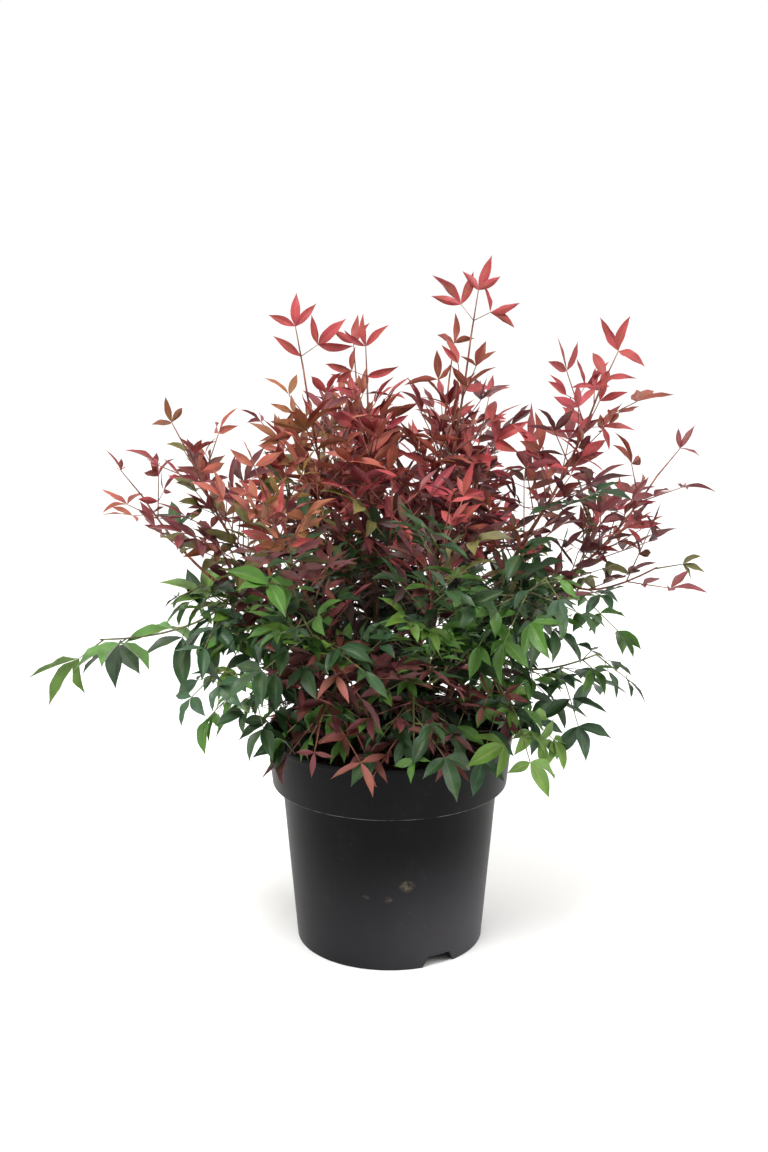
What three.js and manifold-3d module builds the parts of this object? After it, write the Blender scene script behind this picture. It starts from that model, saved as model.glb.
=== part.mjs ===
// Heavenly bamboo: a clump of leafy canes rooted in a round black nursery pot.
// Millimetres, +Z up. The origin is on the ground under the pot's centre, and -Y is the plant's front.
// Azimuths are in degrees: 0 is the front, 90 is +X.
import * as THREE from "three";
import { mergeVertices } from "three/addons/utils/BufferGeometryUtils.js";
import Module from "manifold-3d";

const wasm = await Module();
wasm.setup();

// ---------------------------------------------------------------- driving dimensions

// A container of about 7.5 litres, moulded with a deep collar and a notched foot.
const pot = {
  rimRadius: 130,
  height: 230,
  collarHeight: 56,
  collarFootRadius: 124,
  bodyTopRadius: 114,
  bodyFootRadius: 99,
  wall: 2.6,
  chamfer: 1.5,
  footRise: 12,
  centrePadRadius: 48,
  footRingWidth: 5,
  notchCount: 2,
  notchAzimuth: 31,
  notchWidth: 38,
  notchTopWidth: 26,
  drainCount: 6,
  drainRadius: 6,
  drainFacets: 8,
  facets: 40,
};
const compost = { topHeight: 214, levelRadius: 76, edgeFall: 4, clearance: 0.4, facets: 24 };

// Canes: slim woody stems without side branches, fanning out of the middle of the pot.
const cane = { rootRadius: 3.8, endRadius: 1.9, sides: 5, rings: 5, stands: true, share: 0.56, arch: 0.13 };

// Foliage: each mass is one large divided leaf, whose stem bears opposite pinnae of three leaflets.
const gap = 0.3;
const stem = { rootRadius: 2.2, endRadius: 1.7, sides: 3, rings: 3, share: 0.66, lastBud: 0.98 };
const pinna = {
  ribHalfWidth: 0.8,
  rootHalfWidth: 0.45,
  rootFrom: 0.25,
  thickness: 1.1,
  nodeLead: 12,
  widest: 0.42,
  sideShare: 0.9,
  apart: 0.28,
};

// How the pinnae of a mass are built, in millimetres and degrees. Stations are shares of the stem's length.
// Fall and cup are slopes, and sag is a share of the pinna's length.
const leading = {
  stations: [0.6], rachis: 30, leaflet: 46, width: 14, spread: 48, open: 42, twist: 70,
  arch: 0, fall: -0.2, sag: 0, cup: 0.15,
};
const rising = {
  stations: [0.36, 0.76], rachis: 34, leaflet: 52, width: 18, spread: 46, open: 46, twist: 70,
  arch: 0, fall: -0.2, sag: 0, cup: 0.15,
};
const filling = {
  stations: [0.25, 0.66], rachis: 34, leaflet: 72, width: 40, spread: 58, open: 56, twist: 40,
  arch: 0.1, fall: -0.5, sag: 0, cup: 0.1,
};
const hanging = {
  stations: [0.3, 0.7], rachis: 32, leaflet: 70, width: 42, spread: 62, open: 56, twist: 15,
  arch: 0.2, fall: 0.8, sag: 0.1, cup: -0.1,
};
const reaching = {
  stations: [0.45, 0.85], rachis: 26, leaflet: 52, width: 34, spread: 60, open: 50, twist: 15,
  arch: 0.1, fall: 0.3, sag: 0.05, cup: -0.1,
};
// The sizes and the turns about the stem, in degrees, that a bud tries in order.
const sizes = [1, 0.8, 0.62];
const turns = [0, 35, -35, 70, -70, 105, -105];
const tryouts = sizes.flatMap((scale) => turns.map((turn) => ({ scale, turn })));

// How far a seeded value may range in all. Reach, spread and rachis range by a share of themselves.
const range = {
  place: 0.3,
  reach: 0.2,
  height: 50,
  share: 0.1,
  turn: 30,
  spread: 0.3,
  rachis: 0.4,
  roll: 40,
};

// Tiers from the top down: the tip of a mass lies at reach from the axis and at height over the ground.
// on and share say which tier's canes carry a mass that has no cane of its own, and how far up them it grows.
const [inner, outer] = ["top", "shoulder"];
const tiers = [
  { name: inner, count: 5, azimuth: 62, reach: 90, height: 640, footRadius: 17, habit: leading },
  { name: outer, count: 8, azimuth: 12, reach: 240, height: 560, footRadius: 46, habit: rising },
  { name: "heart", count: 7, azimuth: 0, reach: 140, height: 550, on: inner, share: 0.66, habit: filling },
  { name: "waist", count: 7, azimuth: 34, reach: 235, height: 410, on: outer, share: 0.7, habit: hanging },
  { name: "belly", count: 8, azimuth: 34, reach: 170, height: 380, on: outer, share: 0.45, habit: filling },
  { name: "skirt", count: 8, azimuth: 8, reach: 222, height: 275, on: outer, share: 0.4, habit: hanging },
];
// The sprays that stand out of the crown, in place of their tier's even spacing. A roll, in degrees, turns all
// the pinnae of a mass about its stem.
const leaders = {
  top_1: { azimuth: 75, reach: 95, height: 724, roll: 80 },
  top_4: { azimuth: 284, reach: 102, height: 686, roll: 75 },
  top_5: { azimuth: 330, reach: 50, height: 667 },
  shoulder_2: { azimuth: 62, reach: 256, height: 670, roll: 60 },
  shoulder_3: { azimuth: 94, reach: 318, height: 548, roll: 50 },
  shoulder_6: { azimuth: 258, reach: 308, height: 516, roll: 40 },
  shoulder_7: { azimuth: 290, reach: 238, height: 592, roll: 40 },
  waist_2: { azimuth: 80, reach: 320, height: 424, share: 0.9, habit: rising, roll: 30 },
  waist_6: { azimuth: 280, reach: 236, height: 374 },
  skirt_1: { azimuth: 8, reach: 166, height: 228 },
  skirt_2: { azimuth: 46, reach: 206, height: 202 },
  skirt_3: { azimuth: 82, reach: 272, height: 274 },
  skirt_6: { azimuth: 269, reach: 376, height: 266, share: 0.8, habit: reaching },
  skirt_7: { azimuth: 300, reach: 250, height: 280 },
  skirt_8: { azimuth: 333, reach: 172, height: 230 },
};

const woodColour = 0x6d4a38;
const potColour = 0x242326;
const compostColour = 0x3a2a20;
const foliageColours = {
  top: 0x9c3a3c,
  shoulder: 0x8f3538,
  heart: 0x7e2f36,
  waist: 0x6b4a2c,
  belly: 0x3f6a38,
  skirt: 0x33562f,
};

// ---------------------------------------------------------------- seeded numbers and directions

// One repeatable run of numbers from 0 to 1 for each seed.
function seeded(seed) {
  let state = (seed * 2654435761) >>> 0;
  return () => {
    state = (Math.imul(state, 1664525) + 1013904223) >>> 0;
    return state / 4294967296;
  };
}

const varied = (random, middle, extent) => middle + extent * (random() - 0.5);

const vec = (x, y, z) => new THREE.Vector3(x, y, z);
const UP = vec(0, 0, 1);
const radians = THREE.MathUtils.degToRad;

// The point at a reach and a height in the direction of an azimuth.
function outward(azimuth, reach, height) {
  return vec(reach * Math.sin(radians(azimuth)), -reach * Math.cos(radians(azimuth)), height);
}

const along = (from, direction, length) => from.clone().addScaledVector(direction, length);

// A curve that leaves start towards middle and arrives at end.
const bow = (start, middle, end) => new THREE.QuadraticBezierCurve3(start, middle, end);

function heading(curve, t) {
  const early = curve.v1.clone().sub(curve.v0).multiplyScalar(1 - t);
  const late = curve.v2.clone().sub(curve.v1).multiplyScalar(t);
  return early.add(late).normalize();
}

// The level direction across a heading. For a steep heading it is the one across the way out from the axis.
function across(direction, out) {
  const steepest = 0.92;
  const from = Math.abs(direction.z) > steepest ? out : UP;
  return from.clone().cross(direction).normalize();
}

// ---------------------------------------------------------------- solids

function solidOf(geometry) {
  const bare = geometry.index ? geometry.toNonIndexed() : geometry.clone();
  bare.deleteAttribute("normal");
  bare.deleteAttribute("uv");
  const merged = mergeVertices(bare, 1e-4);
  const mesh = new wasm.Mesh({
    numProp: 3,
    vertProperties: merged.getAttribute("position").array,
    triVerts: new Uint32Array(merged.index.array),
  });
  return new wasm.Manifold(mesh);
}

function geometryOf(solid) {
  const mesh = solid.getMesh();
  const geometry = new THREE.BufferGeometry();
  geometry.setAttribute("position", new THREE.BufferAttribute(mesh.vertProperties, 3));
  geometry.setIndex(new THREE.BufferAttribute(mesh.triVerts, 1));
  const faceted = geometry.toNonIndexed();
  faceted.computeVertexNormals();
  return faceted;
}

function namedMesh(name, geometry, color, roughness) {
  const material = new THREE.MeshStandardMaterial({ color, roughness, metalness: 0 });
  const mesh = new THREE.Mesh(geometry, material);
  mesh.name = name;
  return mesh;
}

// A tapering round limb: a cylinder whose rings are laid along a curve. One that stands has a level foot.
function limbGeometry(curve, { rootRadius, endRadius, sides, rings, stands }) {
  const tube = new THREE.CylinderGeometry(endRadius, rootRadius, 1, sides, rings);
  const place = tube.getAttribute("position");
  let side = across(heading(curve, 0), vec(1, 0, 0));
  const frames = Array.from({ length: rings + 1 }, (_, ring) => {
    const direction = stands && ring === 0 ? UP : heading(curve, ring / rings);
    side = side.clone().addScaledVector(direction, -side.dot(direction)).normalize();
    return { at: curve.getPoint(ring / rings), side, other: side.clone().cross(direction) };
  });
  for (let i = 0; i < place.count; i++) {
    const { at, side: x, other: z } = frames[Math.round((place.getY(i) + 0.5) * rings)];
    const point = along(at, x, place.getX(i)).addScaledVector(z, place.getZ(i));
    place.setXYZ(i, point.x, point.y, point.z);
  }
  return tube;
}

// ---------------------------------------------------------------- pot and compost

const collarFoot = pot.height - pot.collarHeight;
const potFloor = pot.footRise + pot.wall;

// Inside, the wall steps out to the collar over a short slope.
const shoulderFoot = collarFoot + pot.wall - 1;
const shoulderTop = collarFoot + pot.wall + 1;

const { mapLinear } = THREE.MathUtils;
const bodyRadiusAt = (z) => mapLinear(z, 0, collarFoot, pot.bodyFootRadius, pot.bodyTopRadius);

function potRadiusAt(z) {
  if (z < collarFoot) return bodyRadiusAt(z);
  return mapLinear(z, collarFoot, pot.height, pot.collarFootRadius, pot.rimRadius);
}

// Turns an outline of [radius, height] pairs about the pot's axis.
function turned(outline, facets) {
  const points = outline.map(([radius, height]) => new THREE.Vector2(radius, height));
  return new THREE.LatheGeometry(points, facets).rotateX(Math.PI / 2);
}

function potSolid() {
  const outline = [
    [0, 0],
    [pot.centrePadRadius, 0],
    [pot.centrePadRadius, pot.footRise],
    [pot.bodyFootRadius - pot.footRingWidth, pot.footRise],
    [pot.bodyFootRadius - pot.footRingWidth, 0],
    [pot.bodyFootRadius - pot.chamfer, 0],
    [bodyRadiusAt(2 * pot.chamfer), 2 * pot.chamfer],
    [pot.bodyTopRadius, collarFoot + pot.chamfer],
    [pot.collarFootRadius - pot.chamfer, collarFoot],
    [pot.collarFootRadius, collarFoot + pot.chamfer],
    [pot.rimRadius, pot.height - pot.chamfer / 2],
    [pot.rimRadius - pot.chamfer / 2, pot.height],
    [pot.rimRadius - pot.wall, pot.height],
    [pot.collarFootRadius - pot.wall, shoulderTop],
    [pot.bodyTopRadius - pot.wall, shoulderFoot],
    [bodyRadiusAt(potFloor) - pot.wall, potFloor],
    [0, potFloor],
  ];
  const notches = roundTheFoot(pot.notchCount, notchGeometry);
  const drains = roundTheFoot(pot.drainCount, drainGeometry);
  const whole = solidOf(turned(outline, pot.facets));
  return [...notches, ...drains].reduce((solid, geometry) => solid.subtract(solidOf(geometry)), whole);
}

// A cut that is repeated evenly round the foot, the first time at the azimuth of the front notch.
function roundTheFoot(count, geometry) {
  const turn = (i) => radians(pot.notchAzimuth + (360 / count) * i);
  return Array.from({ length: count }, (_, i) => geometry().rotateZ(turn(i)));
}

// A notch through the foot ring at the front, narrower at its top. The cut starts just under the pot.
function notchGeometry() {
  const under = 2;
  const topHalf = pot.notchTopWidth / 2;
  const half = mapLinear(-under, pot.footRise, 0, topHalf, pot.notchWidth / 2);
  const corners = [[-half, -under], [half, -under], [topHalf, pot.footRise], [-topHalf, pot.footRise]];
  const face = new THREE.Shape(corners.map(([x, z]) => new THREE.Vector2(x, z)));
  const depth = 4 * pot.footRingWidth;
  const wedge = new THREE.ExtrudeGeometry(face, { depth, bevelEnabled: false });
  return wedge.rotateX(Math.PI / 2).translate(0, depth / 2 - pot.bodyFootRadius, 0);
}

// A drain hole through the floor, at the front, between the pad and the foot ring.
function drainGeometry() {
  const hole = new THREE.CylinderGeometry(pot.drainRadius, pot.drainRadius, 3 * pot.wall, pot.drainFacets);
  const reach = (pot.centrePadRadius + pot.bodyFootRadius) / 2;
  return hole.rotateX(Math.PI / 2).translate(0, -reach, pot.footRise + pot.wall / 2);
}

// Compost fills the pot to a little under its rim. It is level in the middle, where the canes stand.
function compostGeometry() {
  const floor = potFloor + compost.clearance;
  const inset = pot.wall + compost.clearance;
  const edgeHeight = compost.topHeight - compost.edgeFall;
  const outline = [
    [0, floor],
    [bodyRadiusAt(floor) - inset, floor],
    [pot.bodyTopRadius - inset, shoulderFoot],
    [pot.collarFootRadius - inset, shoulderTop + compost.clearance],
    [potRadiusAt(edgeHeight) - inset - compost.clearance, edgeHeight],
    [compost.levelRadius, compost.topHeight],
    [0, compost.topHeight],
  ];
  return turned(outline, compost.facets);
}

// ---------------------------------------------------------------- canes and the stems of the masses

const caneRadiusAt = (t) => THREE.MathUtils.lerp(cane.rootRadius, cane.endRadius, t);

// The masses in order, each with its tip and its stem, and the canes of the tiers that grow their own.
function layOut() {
  const masses = tiers.flatMap((tier, rank) =>
    Array.from({ length: tier.count }, (_, i) => {
      const name = `${tier.name}_${i + 1}`;
      const random = seeded(100 * (rank + 1) + i);
      const even = {
        azimuth: tier.azimuth + (360 / tier.count) * varied(random, i, range.place),
        reach: tier.reach * varied(random, 1, range.reach),
        height: varied(random, tier.height, range.height),
      };
      const { share, habit } = tier;
      const { azimuth, reach, height, ...own } = { share, habit, roll: 0, ...(leaders[name] ?? even) };
      const tip = outward(azimuth, reach, height);
      return { name, tier, azimuth, tip, out: outward(azimuth, 1, 0), random, ...own };
    }),
  );
  const bearers = masses.filter((mass) => mass.tier.footRadius);
  bearers.forEach(growCane);
  masses.forEach((mass) => growStem(mass, bearers));
  return { masses, canes: bearers.map((mass) => mass.cane) };
}

// A cane rises from the level compost and arches out towards its mass.
function growCane(mass, index) {
  const foot = outward(mass.azimuth, mass.tier.footRadius, compost.topHeight + gap);
  const end = foot.clone().lerp(mass.tip, cane.share);
  const middle = foot.clone().lerp(end, 0.5);
  middle.z += cane.arch * foot.distanceTo(end);
  const curve = bow(foot, middle, end);
  const name = `cane_${String(index + 1).padStart(2, "0")}`;
  mass.cane = { name, curve, spine: linesThrough(curve.getPoints(cane.rings)) };
}

// A mass goes on from its own cane's tip, or leaves the side of the nearest cane of the tier that carries it.
function growStem(mass, bearers) {
  let start, first;
  if (mass.cane) {
    first = heading(mass.cane.curve, 1);
    start = along(mass.cane.curve.v2, first, gap);
  } else {
    const turn = (other) => Math.abs(((other.azimuth - mass.azimuth + 540) % 360) - 180);
    const carriers = bearers.filter((other) => other.tier.name === mass.tier.on);
    const { curve } = carriers.reduce((best, other) => (turn(other) < turn(best) ? other : best)).cane;
    const t = varied(mass.random, mass.share, range.share);
    const upward = heading(curve, t);
    first = mass.tip.clone().sub(curve.getPoint(t));
    first.addScaledVector(upward, -first.dot(upward)).normalize();
    start = along(curve.getPoint(t), first, caneRadiusAt(t) + gap);
  }
  const end = start.clone().lerp(mass.tip, stem.share);
  end.z += mass.habit.arch * start.distanceTo(mass.tip);
  mass.curve = bow(start, along(start, first, 0.4 * start.distanceTo(end)), end);
  mass.spine = linesThrough([...mass.curve.getPoints(stem.rings), mass.tip]);
}

// The straight lines from each point to the next.
const linesThrough = (points) => points.slice(1).map((end, i) => new THREE.Line3(points[i], end));

// ---------------------------------------------------------------- the rule by which a mass branches

// Buds face each other at every station along the stem, turned further round it each time. One more ends it.
function budsOf(mass) {
  const { curve, random, habit } = mass;
  const paired = habit.stations.flatMap((t, i) => {
    const turn = varied(random, mass.roll + habit.twist * (i - 0.5), range.turn);
    return [1, -1].map((sign) => ({
      at: curve.getPoint(t),
      forward: heading(curve, t),
      turn,
      spread: sign * habit.spread * varied(random, 1, range.spread),
      rachis: habit.rachis * varied(random, 1, range.rachis),
      roll: varied(random, 0, range.roll),
    }));
  });
  const last = curve.getPoint(stem.lastBud);
  return [...paired, { at: last, span: mass.tip.clone().sub(last) }];
}

// One way for a bud to grow into a pinna: its plane, and its leaflets lying flat in that plane.
function grown(bud, mass, { turn, scale }) {
  const { habit } = mass;
  let direction, rachis, reach, roll;
  if (bud.span) {
    direction = bud.span.clone().normalize();
    reach = bud.span.length();
    rachis = Math.max(reach - habit.leaflet, pinna.nodeLead + 2);
    roll = mass.roll + 2 * turn;
  } else {
    const { forward, spread } = bud;
    const side = across(forward, mass.out).applyAxisAngle(forward, radians(bud.turn + turn));
    direction = forward.clone().multiplyScalar(Math.cos(radians(spread)));
    direction.addScaledVector(side, Math.sin(radians(spread))).addScaledVector(UP, -habit.fall).normalize();
    rachis = bud.rachis * scale;
    reach = rachis + habit.leaflet * scale;
    roll = bud.roll;
  }
  const side = across(direction, mass.out).applyAxisAngle(direction, radians(roll));
  const normal = direction.clone().cross(side);
  const sag = bud.span ? 0 : habit.sag;
  const node = rachis - pinna.nodeLead * scale;
  const width = habit.width * Math.sqrt(scale);
  const paired = pinna.sideShare * habit.leaflet * scale;
  return {
    node,
    leaflets: {
      right: leaflet(node, -habit.open, paired, width),
      end: leaflet(rachis, 0, reach - rachis, width),
      left: leaflet(node, habit.open, paired, width),
    },
    // x runs along the rib, y across it and z through the plate. The sides are cupped, and the far end sags.
    place(x, y, z) {
      const point = along(bud.at, direction, x).addScaledVector(side, y);
      point.addScaledVector(normal, z + habit.cup * Math.abs(y));
      point.z -= (sag * x * x) / reach;
      return point;
    },
  };
}

// A leaflet lying flat is a kite on a node of the rib, turned from it.
function leaflet(node, turn, length, width) {
  const root = new THREE.Vector2(node, 0);
  const at = (x, y) => new THREE.Vector2(node + x, y).rotateAround(root, radians(turn));
  const widest = pinna.widest * length;
  return { root, right: at(widest, -width / 2), tip: at(length, 0), left: at(widest, width / 2) };
}

// The outline of a pinna, round from the right side of its root. Only the leaflets that have room are in it.
function outlineOf({ node, leaflets }, has) {
  const half = pinna.ribHalfWidth;
  const on = (x, y) => new THREE.Vector2(x, y);
  const round = ({ right, tip, left }) => [right, tip, left];
  return [
    on(pinna.rootFrom, -pinna.rootHalfWidth),
    ...(has.right ? [on(node - half, -half), ...round(leaflets.right)] : []),
    on(node + 2 * half, -half),
    ...(has.end ? round(leaflets.end) : []),
    on(node + 2 * half, half),
    ...(has.left ? [...round(leaflets.left), on(node - half, half)] : []),
    on(pinna.rootFrom, pinna.rootHalfWidth),
  ];
}

// The shape that an outline covers. Where leaflets lie over each other the outline crosses itself.
function shapeOf(outline) {
  const covered = new wasm.CrossSection([outline.map(({ x, y }) => [x, y])], "NonZero");
  const rings = covered.toPolygons().map((ring) => ring.map(([x, y]) => new THREE.Vector2(x, y)));
  const isHole = (ring) => THREE.ShapeUtils.isClockWise(ring);
  const shape = new THREE.Shape(rings.find((ring) => !isHole(ring)));
  shape.holes = rings.filter(isHole).map((ring) => new THREE.Path(ring));
  return shape;
}

// A pinna is a thin plate of that shape.
function plateOf(one, has) {
  const shape = shapeOf(outlineOf(one, has));
  const plate = new THREE.ExtrudeGeometry(shape, { depth: pinna.thickness, bevelEnabled: false });
  const corner = plate.getAttribute("position");
  for (let i = 0; i < corner.count; i++) {
    const point = one.place(corner.getX(i), corner.getY(i), corner.getZ(i) - pinna.thickness / 2);
    corner.setXYZ(i, point.x, point.y, point.z);
  }
  return plate;
}

// ---------------------------------------------------------------- room for each mass

// How far a point lies from a run of straight lines.
function distanceTo(point, run) {
  const nearest = vec(0, 0, 0);
  return run.reduce((least, line) => {
    line.closestPointToPoint(point, true, nearest);
    return Math.min(least, nearest.distanceTo(point));
  }, Infinity);
}

// A point is in a mass's own space when it is nearer to that mass's spine than to any other's.
function inOwnSpace(point, mass, masses) {
  const own = distanceTo(point, mass.spine) + pinna.thickness / 2 + 3 * gap;
  return masses.every((other) => other === mass || distanceTo(point, other.spine) > own);
}

// Foliage stays off the pot, and out of its mouth.
function clearOfPot(point) {
  const edge = 2;
  const outside = Math.hypot(point.x, point.y) > potRadiusAt(point.z) + edge;
  return point.z > pot.height + edge || (point.z > pot.height / 4 && outside);
}

// Foliage also stays off every cane, and off the stems of other masses.
function clearOfLimbs(point, mass, masses) {
  const room = 2;
  return masses.every((other) => {
    const clearOfStem = other === mass || distanceTo(point, other.spine) > stem.rootRadius + room;
    return clearOfStem && (!other.cane || distanceTo(point, other.cane.spine) > cane.rootRadius + room);
  });
}

// Points all over a leaflet, close enough together that no limb passes between them.
function pointsOn({ root, right, tip, left }) {
  const shares = [0, 0.25, 0.5, 0.75, 1];
  const halves = [[root, right, left], [tip, right, left]];
  return halves.flatMap(([point, ...edges]) =>
    shares.flatMap((out) => {
      const [a, b] = edges.map((edge) => point.clone().lerp(edge, out));
      return shares.map((aside) => a.clone().lerp(b, aside));
    }),
  );
}

// The stem of a mass and its pinnae. Each bud tries several turns and sizes, and keeps the one that leaves it
// most leaflets clear of everything else. A bud that finds no room for a leaflet stays bare.
function branch(mass, masses) {
  const isFree = (point) =>
    clearOfPot(point) && clearOfLimbs(point, mass, masses) && inOwnSpace(point, mass, masses);
  const apart = pinna.apart * mass.habit.width;
  const ribShares = [0.4, 0.8, 1.1];
  const pieces = [limbGeometry(mass.curve, stem)];
  const midribs = [];
  for (const bud of budsOf(mass)) {
    let best = { score: 0 };
    for (const tryout of tryouts) {
      const one = grown(bud, mass, tryout);
      const clear = (point) => distanceTo(point, midribs) > apart && isFree(point);
      const inRoom = (points) => points.every(({ x, y }) => clear(one.place(x, y, 0)));
      if (!inRoom(ribShares.map((share) => new THREE.Vector2(share * one.node, 0)))) continue;
      const has = {};
      for (const [side, blade] of Object.entries(one.leaflets)) has[side] = inRoom(pointsOn(blade));
      const score = Object.values(has).filter(Boolean).length * tryout.scale;
      if (score > best.score) best = { score, one, has };
    }
    if (!best.score) continue;
    pieces.push(plateOf(best.one, best.has));
    for (const [side, { root, tip }] of Object.entries(best.one.leaflets)) {
      const [from, to] = [root, tip].map(({ x, y }) => best.one.place(x, y, 0));
      if (best.has[side]) midribs.push(new THREE.Line3(from, to));
    }
  }
  return pieces;
}

// Joins the pieces of a mass, and drops any scrap that came loose.
function joined(pieces) {
  const bodies = wasm.Manifold.union(pieces.map(solidOf)).decompose();
  return bodies.reduce((best, body) => (body.volume() > best.volume() ? body : best));
}

// ---------------------------------------------------------------- the whole plant

const plant = new THREE.Group();
plant.add(namedMesh("pot", geometryOf(potSolid()), potColour, 0.55));
plant.add(namedMesh("compost", compostGeometry(), compostColour, 0.95));

const { masses, canes } = layOut();
for (const { name, curve } of canes) {
  plant.add(namedMesh(name, limbGeometry(curve, cane), woodColour, 0.8));
}
for (const mass of masses) {
  const foliage = geometryOf(joined(branch(mass, masses)));
  plant.add(namedMesh(mass.name, foliage, foliageColours[mass.tier.name], 0.6));
}

export default plant;
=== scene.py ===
import math
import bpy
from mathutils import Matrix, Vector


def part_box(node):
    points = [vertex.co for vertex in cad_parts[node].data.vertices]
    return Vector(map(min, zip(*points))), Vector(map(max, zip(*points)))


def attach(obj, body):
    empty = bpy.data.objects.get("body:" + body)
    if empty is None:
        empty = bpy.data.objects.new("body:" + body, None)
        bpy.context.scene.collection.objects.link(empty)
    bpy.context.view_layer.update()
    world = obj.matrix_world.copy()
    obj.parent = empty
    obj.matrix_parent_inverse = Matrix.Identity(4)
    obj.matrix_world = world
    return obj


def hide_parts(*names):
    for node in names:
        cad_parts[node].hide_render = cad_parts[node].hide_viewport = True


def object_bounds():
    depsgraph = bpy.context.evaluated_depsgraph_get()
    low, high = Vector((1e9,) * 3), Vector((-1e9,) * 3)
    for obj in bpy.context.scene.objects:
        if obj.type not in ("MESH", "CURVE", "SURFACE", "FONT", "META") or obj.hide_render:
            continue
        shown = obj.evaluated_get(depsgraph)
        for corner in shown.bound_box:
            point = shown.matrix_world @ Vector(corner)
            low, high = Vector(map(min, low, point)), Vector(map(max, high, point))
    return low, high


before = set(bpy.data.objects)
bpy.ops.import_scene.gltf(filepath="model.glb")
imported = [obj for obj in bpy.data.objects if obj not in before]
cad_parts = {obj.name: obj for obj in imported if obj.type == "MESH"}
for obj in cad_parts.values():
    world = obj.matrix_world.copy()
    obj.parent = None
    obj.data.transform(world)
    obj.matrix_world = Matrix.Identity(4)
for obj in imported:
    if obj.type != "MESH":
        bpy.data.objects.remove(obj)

from types import SimpleNamespace as Named

import bpy
import numpy as np
from mathutils import Vector

cad_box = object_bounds()

# ---------------------------------------------------------------- stage, light and camera
# The plant stands on a plain pale studio floor that runs out of view. Soft light falls from above and from
# both sides. The side towards the viewer is darker, so the pot's flanks shine more than its front.


class Wire:
    """The value of a socket in a node tree. Sums on it add Math nodes."""

    def __init__(self, nodes, socket):
        self.nodes, self.socket = nodes, socket

    def maths(self, operation, *values):
        return self.nodes.node("ShaderNodeMath", {"operation": operation}, dict(enumerate(values)))

    def __add__(self, other):
        return self.maths("ADD", self, other)

    __radd__ = __add__

    def __sub__(self, other):
        return self.maths("SUBTRACT", self, other)

    def __rsub__(self, other):
        return self.maths("SUBTRACT", other, self)

    def __mul__(self, other):
        return self.maths("MULTIPLY", self, other)

    __rmul__ = __mul__

    def __truediv__(self, other):
        return self.maths("DIVIDE", self, other)

    def __pow__(self, other):
        return self.maths("POWER", self, other)

    def distance(self):
        return self.maths("ABSOLUTE", self)

    def between(self, low, high):
        """0 up to low and 1 from high, with a smooth rise. It falls where low is over high."""
        inputs = {"Value": self, "From Min": low, "From Max": high}
        settings = {"interpolation_type": "SMOOTHSTEP"}
        return self.nodes.node("ShaderNodeMapRange", settings, inputs)


class Nodes:
    """A node tree that is being put together."""

    def __init__(self, owner):
        owner.use_nodes = True
        self.tree = owner.node_tree
        self.tree.nodes.clear()

    def node(self, kind, settings=None, inputs=None, output=0):
        made = self.tree.nodes.new(kind)
        for key, value in (settings or {}).items():
            setattr(made, key, value)
        for key, value in (inputs or {}).items():
            if isinstance(value, Wire):
                self.tree.links.new(value.socket, made.inputs[key])
            else:
                made.inputs[key].default_value = value
        return Wire(self, made.outputs[output]) if made.outputs else None

    def mix(self, factor, first, second):
        """A colour from first, at factor 0, to second, at factor 1."""
        settings = {"data_type": "RGBA"}
        return self.node("ShaderNodeMix", settings, {0: factor, 6: first, 7: second}, 2)


def paint(red, green, blue):
    """A colour as it looks on a screen, from 0 to 255 a channel, turned into light."""
    channels = [((c / 255 + 0.055) / 1.055) ** 2.4 if c > 10 else c / 3295 for c in (red, green, blue)]
    return (*channels, 1.0)


floor_half = 9.0
floor_mesh = bpy.data.meshes.new("floor")
corners = [(floor_half * x, floor_half * y, 0) for x, y in ((-1, -1), (1, -1), (1, 1), (-1, 1))]
floor_mesh.from_pydata(corners, [], [(0, 1, 2, 3)])
floor = bpy.data.objects.new("floor", floor_mesh)
bpy.context.collection.objects.link(floor)

floor_material = bpy.data.materials.new("floor_paper")
floor_nodes = Nodes(floor_material)
paper = {"Base Color": paint(250, 250, 250), "Roughness": 0.9}
paper_surface = floor_nodes.node("ShaderNodeBsdfPrincipled", {}, paper)
floor_nodes.node("ShaderNodeOutputMaterial", {}, {"Surface": paper_surface})
floor_mesh.materials.append(floor_material)

# The room: bright at the back, the sides and the top, and darker in front. It shows as plain white.
front_light, back_light = 0.2, 1.25
room = bpy.data.worlds.new("room")
bpy.context.scene.world = room
room_nodes = Nodes(room)
towards = room_nodes.node("ShaderNodeTexCoord", {}, {}, "Generated")
depth = room_nodes.node("ShaderNodeSeparateXYZ", {}, {"Vector": towards}, "Y")
height = room_nodes.node("ShaderNodeSeparateXYZ", {}, {"Vector": towards}, "Z")
strength = front_light + (back_light - front_light) * (depth + 0.6 * height).between(-0.75, 0.25)
lit = room_nodes.node("ShaderNodeBackground", {}, {"Color": paint(255, 253, 250), "Strength": strength})
seen = room_nodes.node("ShaderNodeBackground", {}, {"Color": (1, 1, 1, 1), "Strength": 1.0})
is_seen = room_nodes.node("ShaderNodeLightPath", {}, {}, "Is Camera Ray")
both = room_nodes.node("ShaderNodeMixShader", {}, {0: is_seen, 1: lit, 2: seen})
room_nodes.node("ShaderNodeOutputWorld", {}, {"Surface": both})


def soft_light(name, place, power, size):
    """A square lamp that faces the middle of the plant."""
    lamp = bpy.data.lights.new(name, "AREA")
    lamp.energy, lamp.size = power, size
    holder = bpy.data.objects.new(name, lamp)
    bpy.context.collection.objects.link(holder)
    holder.location = place
    away = Vector(place) - Vector((0, 0, 0.4))
    holder.rotation_euler = away.to_track_quat("Z", "Y").to_euler()


soft_light("overhead", (-0.5, -1.2, 2.6), 76, 1.2)
soft_light("right_fill", (2.2, -0.3, 1.3), 22, 1.4)

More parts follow.
